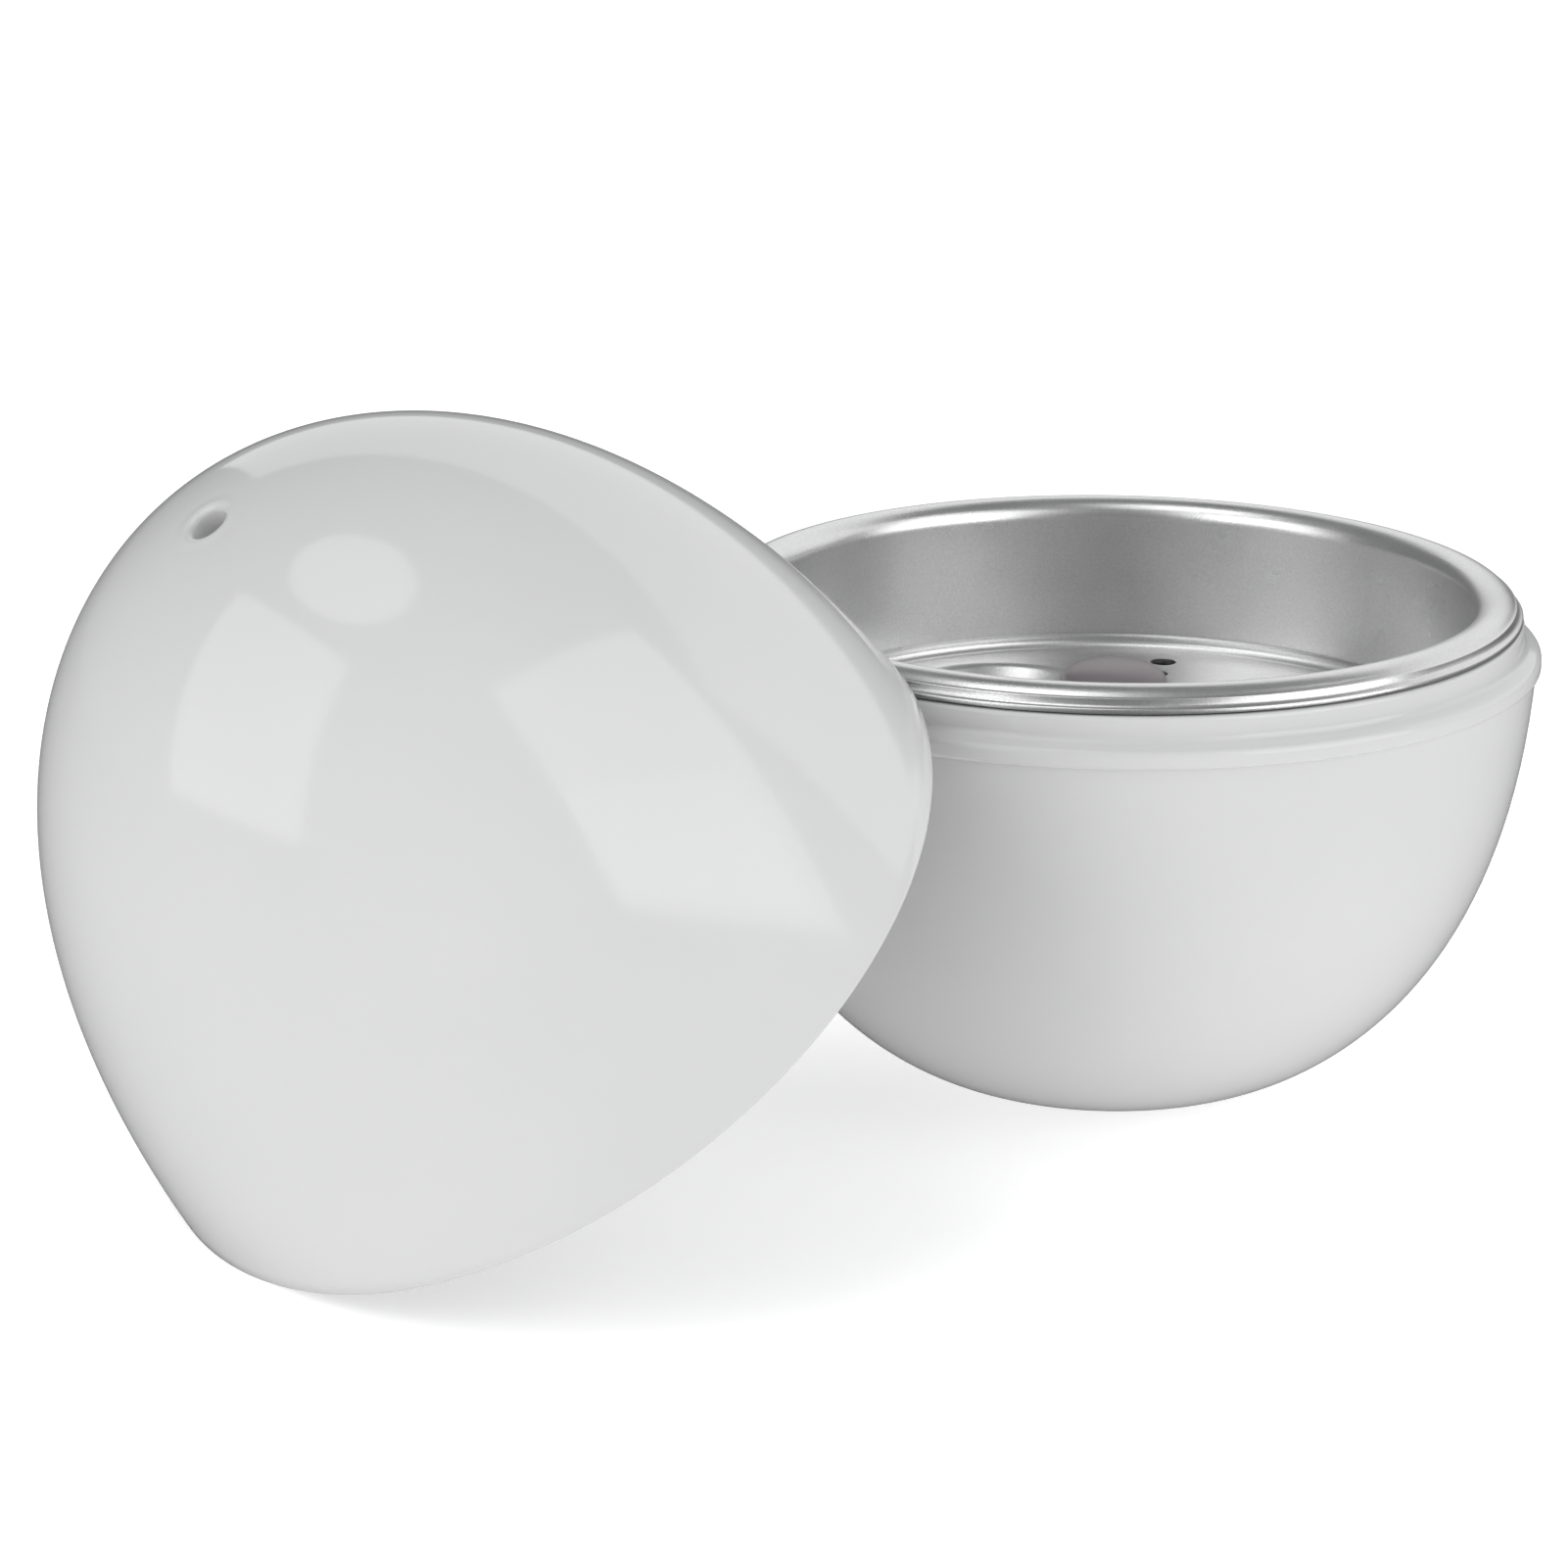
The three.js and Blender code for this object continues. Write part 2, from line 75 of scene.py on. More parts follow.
POT_SHEET = 0.001
POT_RADIUS = 0.0589
POT_BOTTOM = POT_LOW.z + POT_SHEET
CREST_ROUND = 0.0036
CREST_Z = 0.0830
CREST_RADIUS = POT_RADIUS + CREST_ROUND
LIP_TOP = BOWL_HIGH.z + TOUCH + POT_SHEET
LIP_RADIUS = POT_HIGH.x
TRAY_DEPTH = 0.027  # rounded rim's top to the shoulder that carries the tray
SHOULDER_Z = CREST_Z - TRAY_DEPTH
SHOULDER_WIDTH = 0.0018

TRAY_SHEET = 0.0008
TRAY_RADIUS = TRAY_HIGH.x
TRAY_TOP = SHOULDER_Z + TOUCH + TRAY_SHEET
WELL_MARGIN = 0.0077
WELL_CIRCLE = (TRAY_RADIUS + KNOB_HIGH.x) / 2
WELL_RADIUS = (TRAY_RADIUS - KNOB_HIGH.x) / 2 - WELL_MARGIN
WELL_DEPTH = 0.0065
WELL_DRAIN = 0.0045
WELL_BEARING = math.radians(32)
STEAM_HOLE = 0.0022
STEAM_CIRCLES = (TRAY_RADIUS - 0.0174, TRAY_RADIUS - 0.0094)
SCREW_RADIUS = 0.0015
SCREW_HOLE = SCREW_RADIUS + TOUCH
SCREW_GRIP = 0.006  # length of the screw in the knob
SCREW_HEAD_HEIGHT = 0.0018

LINER_SHEET = 0.0008
LINER_AIR_GAP = 0.005
LINER_OVER_CREST = 0.0014
LINER_EDGE = CREST_Z - LEDGE_Z + LINER_OVER_CREST
LINER_VENT = 0.004
LINER_STEAM_HOLE = 0.002
LINER_STEAM_CIRCLE = 0.016
LINER_STEAM_HOLES = 6
VENT_RADIUS = 0.0029
VENT_TUBE = 0.0064
VENT_TUBE_WALL = 0.0016
CLIP_COUNT = 6
CLIP_SIZE = (0.0026, 0.009, 0.0016)

LID_HOVER = 0.150  # height of the upright lid's rim at the end of its swing
LID_SPIN = math.radians(213.21)  # how far the lid is turned about its axis there
ROUND = 192  # steps round a large spun piece


def lid_placement():
    """Matrix that takes the lid, upright on the origin, to where it leans at rest."""
    swing = next(j for j in frame["joints"] if j["name"] == "lid_swing")
    point = Vector(swing["pos_m"])
    turn = Matrix.Rotation(math.radians(swing["range_deg"][1]), 4, Vector(swing["axis"]))
    carried = Matrix.Translation(point) @ turn @ Matrix.Translation(-point)
    upright = Matrix.Translation((0, 0, LID_HOVER)) @ Matrix.Rotation(LID_SPIN, 4, "Z")
    return carried.inverted() @ upright


LID_PLACE = lid_placement()

# ------------------------------------------------------------------ camera
CAMERA_AT = Vector((-0.05427, -1.02906, 0.34449))
CAMERA_PITCH = math.radians(16.05)
CAMERA_ROLL = math.radians(0.40)
CAMERA_LENS = 148.24
SENSOR = 36.0


def make_camera():
    data = bpy.data.cameras.new("camera")
    data.lens = CAMERA_LENS
    data.sensor_width = SENSOR
    data.clip_start = 0.05
    data.clip_end = 50
    camera = bpy.data.objects.new("camera", data)
    bpy.context.scene.collection.objects.link(camera)
    camera.matrix_world = (
        Matrix.Translation(CAMERA_AT)
        @ Matrix.Rotation(math.pi / 2 - CAMERA_PITCH, 4, "X")
        @ Matrix.Rotation(CAMERA_ROLL, 4, "Z")
    )
    bpy.context.scene.camera = camera


make_camera()


# ------------------------------------------------------------------ outlines
def bezier(start, first, second, end, steps):
    """Points of a cubic curve of radius and height, ends included."""
    corners = [Vector((x, y, 0)) for x, y in (start, first, second, end)]
    return [(p.x, p.y) for p in interpolate_bezier(*corners, steps + 1)]


def arc(middle, radius, start, end, steps):
    """Points of an arc of radius and height; angles in degrees from outwards, upwards."""
    turns = [math.radians(start + (end - start) * i / steps) for i in range(steps + 1)]
    return [(middle[0] + radius * math.cos(t), middle[1] + radius * math.sin(t)) for t in turns]


def beside(points, distance):
    """The points moved sideways, to the right of the way they run."""
    moved = []
    for i, (x, y) in enumerate(points):
        before, after = points[max(i - 1, 0)], points[min(i + 1, len(points) - 1)]
        along = Vector((after[0] - before[0], after[1] - before[1])).normalized()
        moved.append((x + along.y * distance, y - along.x * distance))
    return moved


def without_doubles(points, least=2e-5):
    kept = [points[0]]
    for point in points[1:]:
        if math.dist(point, kept[-1]) > least:
            kept.append(point)
    return kept


# ------------------------------------------------------------------ modelling
def deselect():
    if bpy.context.object and bpy.context.object.mode != "OBJECT":
        bpy.ops.object.mode_set(mode="OBJECT")
    bpy.ops.object.select_all(action="DESELECT")


def settle():
    """Puts the active object's place into its mesh."""
    bpy.ops.object.transform_apply(location=True, rotation=True, scale=True)


def spun(name, outline, steps=ROUND, closed=False):
    """Extrudes one point along an outline of radius and height, then spins it about Z."""
    outline = without_doubles(outline)
    deselect()
    bpy.ops.mesh.primitive_plane_add(size=0.001)
    piece = bpy.context.object
    piece.name = name
    bpy.ops.object.mode_set(mode="EDIT")
    bpy.ops.mesh.select_mode(type="VERT")
    bpy.ops.mesh.select_all(action="SELECT")
    bpy.ops.mesh.merge(type="CENTER")
    bpy.ops.transform.translate(value=(outline[0][0], 0, outline[0][1]))
    for here, there in zip(outline, outline[1:]):
        step = (there[0] - here[0], 0, there[1] - here[1])
        bpy.ops.mesh.extrude_region_move(TRANSFORM_OT_translate={"value": step})
    bpy.ops.mesh.select_all(action="SELECT")
    if closed:
        ends = (outline[0][0] - outline[-1][0], outline[0][1] - outline[-1][1])
        bpy.ops.mesh.select_all(action="DESELECT")
        bpy.ops.object.mode_set(mode="OBJECT")
        piece.data.vertices[0].select = True
        piece.data.vertices[len(outline) - 1].select = True
        bpy.ops.object.mode_set(mode="EDIT")
        if max(map(abs, ends)) > 1e-6:
            bpy.ops.mesh.edge_face_add()
        bpy.ops.mesh.select_all(action="SELECT")
    bpy.ops.mesh.spin(steps=steps, angle=2 * math.pi, center=(0, 0, 0), axis=(0, 0, 1))
    bpy.ops.mesh.select_all(action="SELECT")
    bpy.ops.mesh.remove_doubles(threshold=2e-6)
    bpy.ops.mesh.normals_make_consistent(inside=False)
    bpy.ops.object.mode_set(mode="OBJECT")
    settle()
    return piece


def soften(piece, degrees=38):
    """Smooth shading, with edges kept where faces meet more sharply than this."""
    deselect()
    piece.select_set(True)
    bpy.context.view_layer.objects.active = piece
    bpy.ops.object.shade_smooth_by_angle(angle=math.radians(degrees))


def place(piece, matrix):
    """Moves a finished piece by a matrix, leaving its object at the origin."""
    deselect()
    piece.select_set(True)
    bpy.context.view_layer.objects.active = piece
    piece.matrix_world = matrix @ piece.matrix_world
    settle()


def apply_modifier(piece, modifier):
    deselect()
    piece.select_set(True)
    bpy.context.view_layer.objects.active = piece
    bpy.ops.object.modifier_apply(modifier=modifier.name)


def cut(piece, cutter, operation="DIFFERENCE"):
    """Cuts or joins one piece with another, which is used up."""
    modifier = piece.modifiers.new(name="cut", type="BOOLEAN")
    modifier.operation = operation
    modifier.solver = "EXACT"
    modifier.object = cutter
    apply_modifier(piece, modifier)
    bpy.data.objects.remove(cutter)


def drill(radius, low, high, x=0.0, y=0.0, steps=32):
    """An upright round cutter."""
    deselect()
    bpy.ops.mesh.primitive_cylinder_add(
        vertices=steps, radius=radius, depth=high - low, location=(x, y, (low + high) / 2)
    )
    settle()
    return bpy.context.object


# ------------------------------------------------------------------ materials
def group_input(group, name, kind, value):
    socket = group.interface.new_socket(name=name, in_out="INPUT", socket_type=kind)
    socket.default_value = value
    return socket


def make_grain_group():
    """Uneven grain: a fine one for tone and height, and soft clouds, at chosen sizes."""
    group = bpy.data.node_groups.new("fine_grain", "ShaderNodeTree")
    group_input(group, "Grains per metre", "NodeSocketFloat", 1500.0)
    group_input(group, "Clouds per metre", "NodeSocketFloat", 30.0)
    for name in ("Tone", "Cloud", "Height"):
        group.interface.new_socket(name=name, in_out="OUTPUT", socket_type="NodeSocketFloat")
    nodes, links = group.nodes, group.links
    into, out = nodes.new("NodeGroupInput"), nodes.new("NodeGroupOutput")
    place_on = nodes.new("ShaderNodeTexCoord")
    fine = nodes.new("ShaderNodeTexNoise")
    fine.inputs["Detail"].default_value = 3.0
    fine.inputs["Roughness"].default_value = 0.65
    cloud = nodes.new("ShaderNodeTexNoise")
    cloud.inputs["Detail"].default_value = 4.0
    links.new(place_on.outputs["Object"], fine.inputs["Vector"])
    links.new(place_on.outputs["Object"], cloud.inputs["Vector"])
    links.new(into.outputs["Grains per metre"], fine.inputs["Scale"])
    links.new(into.outputs["Clouds per metre"], cloud.inputs["Scale"])
    links.new(fine.outputs["Fac"], out.inputs["Tone"])
    links.new(cloud.outputs["Fac"], out.inputs["Cloud"])
    links.new(fine.outputs["Fac"], out.inputs["Height"])
    return group


def make_spin_lines_group():
    """Fine rings about an axis, as spinning leaves them: a line height for bump."""
    group = bpy.data.node_groups.new("spin_lines", "ShaderNodeTree")
    group_input(group, "Middle", "NodeSocketVector", (0.0, 0.0, 0.0))
    group_input(group, "Turn", "NodeSocketVector", (0.0, 0.0, 0.0))
    group_input(group, "Lines per metre", "NodeSocketFloat", 900.0)
    group.interface.new_socket(name="Line", in_out="OUTPUT", socket_type="NodeSocketFloat")
    nodes, links = group.nodes, group.links
    into, out = nodes.new("NodeGroupInput"), nodes.new("NodeGroupOutput")
    where = nodes.new("ShaderNodeTexCoord")
    shift = nodes.new("ShaderNodeVectorMath")
    shift.operation = "SUBTRACT"
    turn = nodes.new("ShaderNodeVectorRotate")
    turn.rotation_type = "EULER_XYZ"
    split = nodes.new("ShaderNodeSeparateXYZ")
    flat = nodes.new("ShaderNodeCombineXYZ")
    reach = nodes.new("ShaderNodeVectorMath")
    reach.operation = "LENGTH"
    spoke = nodes.new("ShaderNodeMath")
    spoke.operation = "ARCTAN2"
    slow = nodes.new("ShaderNodeMath")
    slow.operation = "MULTIPLY"
    slow.inputs[1].default_value = 0.0006
    ring = nodes.new("ShaderNodeCombineXYZ")
    lines = nodes.new("ShaderNodeTexNoise")
    lines.inputs["Detail"].default_value = 3.0
    lines.inputs["Roughness"].default_value = 0.7
    links.new(where.outputs["Object"], shift.inputs[0])
    links.new(into.outputs["Middle"], shift.inputs[1])
    links.new(shift.outputs[0], turn.inputs["Vector"])
    links.new(into.outputs["Turn"], turn.inputs["Rotation"])
    links.new(turn.outputs[0], split.inputs[0])
    links.new(split.outputs["X"], flat.inputs["X"])
    links.new(split.outputs["Y"], flat.inputs["Y"])
    links.new(flat.outputs[0], reach.inputs[0])
    links.new(split.outputs["Y"], spoke.inputs[0])
    links.new(split.outputs["X"], spoke.inputs[1])
    links.new(spoke.outputs[0], slow.inputs[0])
    links.new(reach.outputs["Value"], ring.inputs["X"])
    links.new(slow.outputs[0], ring.inputs["Y"])
    links.new(split.outputs["Z"], ring.inputs["Z"])
    links.new(ring.outputs[0], lines.inputs["Vector"])
    links.new(into.outputs["Lines per metre"], lines.inputs["Scale"])
    links.new(lines.outputs["Fac"], out.inputs["Line"])
    return group


GRAIN = make_grain_group()
SPIN_LINES = make_spin_lines_group()


def new_material(name):
    material = bpy.data.materials.new(name)
    material.use_nodes = True
    tree = material.node_tree
    return material, tree.nodes, tree.links, tree.nodes["Principled BSDF"]


def add_group(nodes, group, **values):
    node = nodes.new("ShaderNodeGroup")
    node.node_tree = group
    for name, value in values.items():
        node.inputs[name.replace("_", " ")].default_value = value
    return node


def spread_between(nodes, links, source, low, high):
    """A value that runs from low to high as the source runs over a noise's usual span."""
    span = nodes.new("ShaderNodeMapRange")
    span.inputs["From Min"].default_value = 0.3
    span.inputs["From Max"].default_value = 0.7
    span.inputs["To Min"].default_value = low
    span.inputs["To Max"].default_value = high
    links.new(source, span.inputs["Value"])
    return span.outputs["Result"]


def tint_between(nodes, links, source, dark, light):
    ramp = nodes.new("ShaderNodeValToRGB")
    ramp.color_ramp.elements[0].position = 0.3
    ramp.color_ramp.elements[1].position = 0.7
    ramp.color_ramp.elements[0].color = (*dark, 1)
    ramp.color_ramp.elements[1].color = (*light, 1)
    links.new(source, ramp.inputs["Fac"])
    return ramp.outputs["Color"]


def moulded_plastic(name, dark, light, rough, ripple):
    """Moulded plastic: cloudy tone, uneven gloss and a faint ripple from the mould."""
    material, nodes, links, shader = new_material(name)
    grain = add_group(nodes, GRAIN, Grains_per_metre=900.0, Clouds_per_metre=22.0)
    links.new(
        tint_between(nodes, links, grain.outputs["Cloud"], dark, light),
        shader.inputs["Base Color"],
    )
    links.new(
        spread_between(nodes, links, grain.outputs["Cloud"], rough[0], rough[1]),
        shader.inputs["Roughness"],
    )
    bump = nodes.new("ShaderNodeBump")
    bump.inputs["Strength"].default_value = ripple
    bump.inputs["Distance"].default_value = 0.0002
    links.new(grain.outputs["Height"], bump.inputs["Height"])
    links.new(bump.outputs["Normal"], shader.inputs["Normal"])
    shader.inputs["IOR"].default_value = 1.49
    return material


def spun_metal(name, dark, light, rough, middle=(0, 0, 0), turn=(0, 0, 0)):
    """Satin aluminium: grain with a sparkle, and rings about the piece's own axis."""
    material, nodes, links, shader = new_material(name)
    shader.inputs["Metallic"].default_value = 1.0
    grain = add_group(nodes, GRAIN, Grains_per_metre=2600.0, Clouds_per_metre=70.0)
    rings = add_group(nodes, SPIN_LINES, Middle=middle, Turn=turn, Lines_per_metre=1400.0)
    links.new(
        tint_between(nodes, links, grain.outputs["Tone"], dark, light),
        shader.inputs["Base Color"],
    )
    links.new(
        spread_between(nodes, links, grain.outputs["Cloud"], rough[0], rough[1]),
        shader.inputs["Roughness"],
    )
    ring_bump = nodes.new("ShaderNodeBump")
    ring_bump.inputs["Strength"].default_value = 0.25
    ring_bump.inputs["Distance"].default_value = 0.00008
    links.new(rings.outputs["Line"], ring_bump.inputs["Height"])
    grain_bump = nodes.new("ShaderNodeBump")
    grain_bump.inputs["Strength"].default_value = 0.25
    grain_bump.inputs["Distance"].default_value = 0.00008
    links.new(grain.outputs["Height"], grain_bump.inputs["Height"])
    links.new(ring_bump.outputs["Normal"], grain_bump.inputs["Normal"])
    links.new(grain_bump.outputs["Normal"], shader.inputs["Normal"])
    return material


LID_TURN = LID_PLACE.inverted().to_euler("XYZ")
WHITE_SHELL = moulded_plastic(
    "white_polypropylene", (0.655, 0.655, 0.655), (0.675, 0.675, 0.673), (0.09, 0.13), 0.012
)
KNOB_PLASTIC = moulded_plastic(
    "knob_plastic", (0.20, 0.18, 0.19), (0.24, 0.215, 0.23), (0.34, 0.42), 0.06
)
POT_METAL = spun_metal("pot_aluminium", (0.72, 0.72, 0.725), (0.84, 0.84, 0.84), (0.26, 0.34))
TRAY_METAL = spun_metal("tray_aluminium", (0.70, 0.70, 0.705), (0.82, 0.82, 0.82), (0.3, 0.38))
LINER_METAL = spun_metal(
    "lining_aluminium", (0.72, 0.72, 0.725), (0.84, 0.84, 0.84), (0.28, 0.36),
    LID_PLACE.translation, LID_TURN,
)
SCREW_STEEL = spun_metal("screw_steel", (0.5, 0.5, 0.5), (0.62, 0.62, 0.61), (0.22, 0.3))


def finish_piece(piece, material, body, node):
    piece.data.materials.clear()
    piece.data.materials.append(material)
    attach(piece, body)
    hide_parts(node)


# ------------------------------------------------------------------ bowl
def make_bowl():
    under_ledge = LEDGE_Z - 0.0034
    wall_top = SHELL_RADIUS - 0.0008
    wall = bezier(
        (FOOT_RADIUS, 0), (FOOT_RADIUS + 0.005, 0),
        (SHELL_RADIUS - 0.0048, 0.009), (wall_top, under_ledge), 44,
    )
    bead = arc((wall_top, under_ledge + 0.0009), 0.0008, -80, 0, 5)
    edge = arc((SHELL_RADIUS - 0.0014, LEDGE_Z - 0.0014), 0.0014, 0, 68, 8)
    fillet = arc((COLLAR_RADIUS + 0.0014, LEDGE_Z + 0.0016), 0.0014, 250, 180, 8)
    collar_edge = arc((COLLAR_RADIUS - 0.0009, COLLAR_TOP - 0.0009), 0.0009, 0, 90, 6)
    collar_inner = arc((COLLAR_INSIDE + 0.0005, COLLAR_TOP - 0.0005), 0.0005, 90, 180, 4)
    inside = [p for p in beside(wall, -SHELL_WALL) if p[1] < LEDGE_Z - 0.014][::-1]
    outline = (
        [(0, 0), (FOOT_RADIUS * 0.6, 0)] + wall + bead + edge + fillet
        + collar_edge + collar_inner + [(COLLAR_INSIDE, LEDGE_Z - COLLAR_DEPTH)]
        + inside + [(0, SHELL_WALL)]
    )
    bowl = spun("bowl_wall", outline)
    soften(bowl)
    finish_piece(bowl, WHITE_SHELL, "bowl", "bowl_shell")


def make_pot():
    below = POT_RADIUS - SHOULDER_WIDTH
    crest_middle = CREST_Z - CREST_ROUND
    bottom = [(0, POT_BOTTOM), (FOOT_RADIUS - 0.006, POT_BOTTOM)]
    wall = bezier(
        bottom[-1], (FOOT_RADIUS + 0.006, POT_BOTTOM),
        (below - 0.001, POT_BOTTOM + 0.008), (below, SHOULDER_Z - 0.0015), 36,
    )
    shoulder = (
        arc((below + 0.0012, SHOULDER_Z - 0.0012), 0.0012, 180, 90, 5)
        + arc((POT_RADIUS - 0.0005, SHOULDER_Z + 0.0005), 0.0005, 270, 360, 4)
    )
    crest = arc((CREST_RADIUS, crest_middle), CREST_ROUND, 180, 38, 22)
    ridge_at = (CREST_RADIUS + 0.00305, crest_middle + 0.00185)
    ridge = arc(ridge_at, 0.00022, 90, 0, 3)
    lip = [
        (CREST_RADIUS + 0.00345, LIP_TOP + 0.00055),
        (CREST_RADIUS + 0.0037, LIP_TOP + 0.0002),
        (CREST_RADIUS + 0.0040, LIP_TOP + 0.00004),
        (LIP_RADIUS - 0.0002, LIP_TOP),
    ]
    upper = without_doubles(bottom + wall + shoulder + crest + ridge + lip, 5e-5)
    plain_crest = arc((CREST_RADIUS, crest_middle), CREST_ROUND, 180, 20, 24)
    smooth = without_doubles(bottom + wall + shoulder + plain_crest + lip[1:], 5e-5)
    under = beside(smooth, POT_SHEET)[::-1]
    under[-1] = (0, POT_BOTTOM - POT_SHEET)
    edge = [(LIP_RADIUS, LIP_TOP - 0.0002), (LIP_RADIUS, LIP_TOP - POT_SHEET + 0.0002)]
    pot = spun("pot_sheet", upper + edge + under)
    soften(pot, 50)
    finish_piece(pot, POT_METAL, "bowl", "inner_pot")


make_bowl()
make_pot()


# ------------------------------------------------------------------ egg tray
def add_ring(radius, x, y, steps):
    """A round edge in the open mesh, on the tray's top."""
    bpy.ops.mesh.primitive_circle_add(vertices=steps, radius=radius, location=(x, y, TRAY_TOP))


def pick_ring(piece, radius, x, y, z):
    """Selects the edges of a ring by its place."""
    bpy.ops.mesh.select_all(action="DESELECT")
    bpy.ops.mesh.select_mode(type="EDGE")
    bpy.ops.object.mode_set(mode="OBJECT")
    mesh = piece.data
    near = [
        abs(math.hypot(v.co.x - x, v.co.y - y) - radius) < 2e-5 and abs(v.co.z - z) < 2e-5
        for v in mesh.vertices
    ]
    for edge in mesh.edges:
        edge.select = near[edge.vertices[0]] and near[edge.vertices[1]]
    bpy.ops.object.mode_set(mode="EDIT")


def draw_ring(profile, x, y):
    """Extrudes the picked ring through (radius, height) pairs about its own middle."""
    for (radius, z), (next_radius, next_z) in zip(profile, profile[1:]):
        bpy.ops.mesh.extrude_region_move(
            TRANSFORM_OT_translate={"value": (0, 0, next_z - z)}
        )
        share = next_radius / radius
        bpy.ops.transform.resize(value=(share, share, 1), center_override=(x, y, next_z))


def make_tray():
    mouth = WELL_RADIUS + 0.0016
    flat = TRAY_RADIUS - 0.0022
    well_steps = 72
    wells = []
    for i in range(4):
        bearing = WELL_BEARING + i * math.pi / 2
        wells.append((WELL_CIRCLE * math.cos(bearing), WELL_CIRCLE * math.sin(bearing)))
    deselect()
    bpy.ops.mesh.primitive_circle_add(vertices=ROUND, radius=flat, location=(0, 0, TRAY_TOP))
    tray = bpy.context.object
    tray.name = "tray_sheet"
    settle()
    bpy.ops.object.mode_set(mode="EDIT")
    add_ring(SCREW_HOLE, 0, 0, 24)
    for i, (x, y) in enumerate(wells):
        add_ring(mouth, x, y, well_steps)
        between = WELL_BEARING + (i + 0.5) * math.pi / 2
        for circle in STEAM_CIRCLES:
            add_ring(STEAM_HOLE, circle * math.cos(between), circle * math.sin(between), 28)
    bpy.ops.mesh.select_all(action="SELECT")
    bpy.ops.mesh.fill(use_beauty=True)
    dish_floor = TRAY_TOP - WELL_DEPTH
    lip = arc((mouth, TRAY_TOP - 0.0022), 0.0022, 90, 142, 7)
    dish = bezier(
        lip[-1], (lip[-1][0] - 0.0032, lip[-1][1] - 0.0040),
        (WELL_DRAIN + 0.0045, dish_floor), (WELL_DRAIN, dish_floor), 18,
    )
    for x, y in wells:
        pick_ring(tray, mouth, x, y, TRAY_TOP)
        draw_ring(without_doubles(lip + dish, 5e-5), x, y)
    turn_up = arc((flat, TRAY_TOP + 0.0016), 0.0016, 270, 352, 8)
    rim = turn_up + [(TRAY_RADIUS - TRAY_SHEET, TRAY_HIGH.z - 0.0012)]
    pick_ring(tray, flat, 0, 0, TRAY_TOP)
    draw_ring(without_doubles(rim, 5e-5), 0, 0)
    bpy.ops.mesh.select_all(action="SELECT")
    bpy.ops.mesh.normals_make_consistent(inside=False)
    bpy.ops.object.mode_set(mode="OBJECT")
    if sum(p.normal.z for p in tray.data.polygons) < 0:
        bpy.ops.object.mode_set(mode="EDIT")
        bpy.ops.mesh.select_all(action="SELECT")
        bpy.ops.mesh.flip_normals()
        bpy.ops.object.mode_set(mode="OBJECT")
    wall = tray.modifiers.new(name="sheet", type="SOLIDIFY")
    wall.thickness = TRAY_SHEET
    wall.offset = -1
    wall.use_even_offset = True
    apply_modifier(tray, wall)
    soften(tray, 40)
    finish_piece(tray, TRAY_METAL, "tray", "egg_tray")


def make_knob():
    low, top = KNOB_LOW.z, KNOB_HIGH.z
    radius, waist = KNOB_HIGH.x, 0.005
    height = top - low
    blind_end = low + SCREW_GRIP + TOUCH
    foot = bezier((radius - 0.001, low), (waist, low + 0.0012), (waist, low + 0.003),
                  (waist, low + height * 0.42), 12)
    under = bezier(foot[-1], (waist, low + height * 0.56), (radius, low + height * 0.5),
                   (radius, top - 0.0042), 12)
    cap = bezier(under[-1], (radius, top - 0.0012), (radius - 0.003, top), (0, top), 20)
    outline = (
        [(SCREW_HOLE, low), (radius - 0.0012, low)] + foot + under + cap
        + [(0, blind_end), (SCREW_HOLE, blind_end), (SCREW_HOLE, low)]
    )
    knob = spun("knob_body", outline, 96)
    soften(knob)
    finish_piece(knob, KNOB_PLASTIC, "tray", "tray_knob")


def make_screw():
    low, top = SCREW_LOW.z, SCREW_HIGH.z
    head = SCREW_HIGH.x
    seat = low + SCREW_HEAD_HEIGHT
    crown = bezier((0, low), (head * 0.6, low), (head, low + 0.0005), (head, seat - 0.0003), 10)
    outline = crown + [
        (head - 0.0002, seat), (SCREW_RADIUS, seat), (SCREW_RADIUS, top - 0.0005),
        (SCREW_RADIUS - 0.0005, top), (0, top),
    ]
    screw = spun("screw_body", outline, 48)
    for turn in (0, math.pi / 2):
        deselect()
        bpy.ops.mesh.primitive_cube_add(size=1, location=(0, 0, low))
        slot = bpy.context.object
        slot.scale = (head * 1.1, 0.0008, 0.0018)
        slot.rotation_euler.z = turn
        settle()
        cut(screw, slot)
    soften(screw)
    finish_piece(screw, SCREW_STEEL, "tray", "knob_screw")


make_tray()
make_knob()
make_screw()


# ------------------------------------------------------------------ lid
def lid_wall():
    """Outside of the lid, upright, from its rim to the edge of its steam hole."""
    whole = bezier(
        (SHELL_RADIUS, 0.0006), (SHELL_RADIUS - LID_FLARE, LID_HEIGHT - LID_SHOULDER),
        (LID_CROWN, LID_HEIGHT), (0, LID_HEIGHT), 84,
    )
    return [p for p in whole if p[0] > VENT_RADIUS + 0.0026]


def inside_radius(height):
    """Inside radius of the lid's wall at a height above its rim."""
    points = [p for p in beside(lid_wall(), -SHELL_WALL) if p[1] > height]
    return points[0][0]


def make_clip(reach, turn, height):
    """A small rounded moulded clip on the lid's wall."""
    deselect()
    bpy.ops.mesh.primitive_cube_add(size=1, location=(reach, 0, height))
    clip = bpy.context.object
    clip.scale = CLIP_SIZE
    settle()
    rounding = clip.modifiers.new(name="rounding", type="BEVEL")
    rounding.width = 0.0004
    rounding.segments = 3
    apply_modifier(clip, rounding)
    place(clip, Matrix.Rotation(turn, 4, "Z"))
    return clip


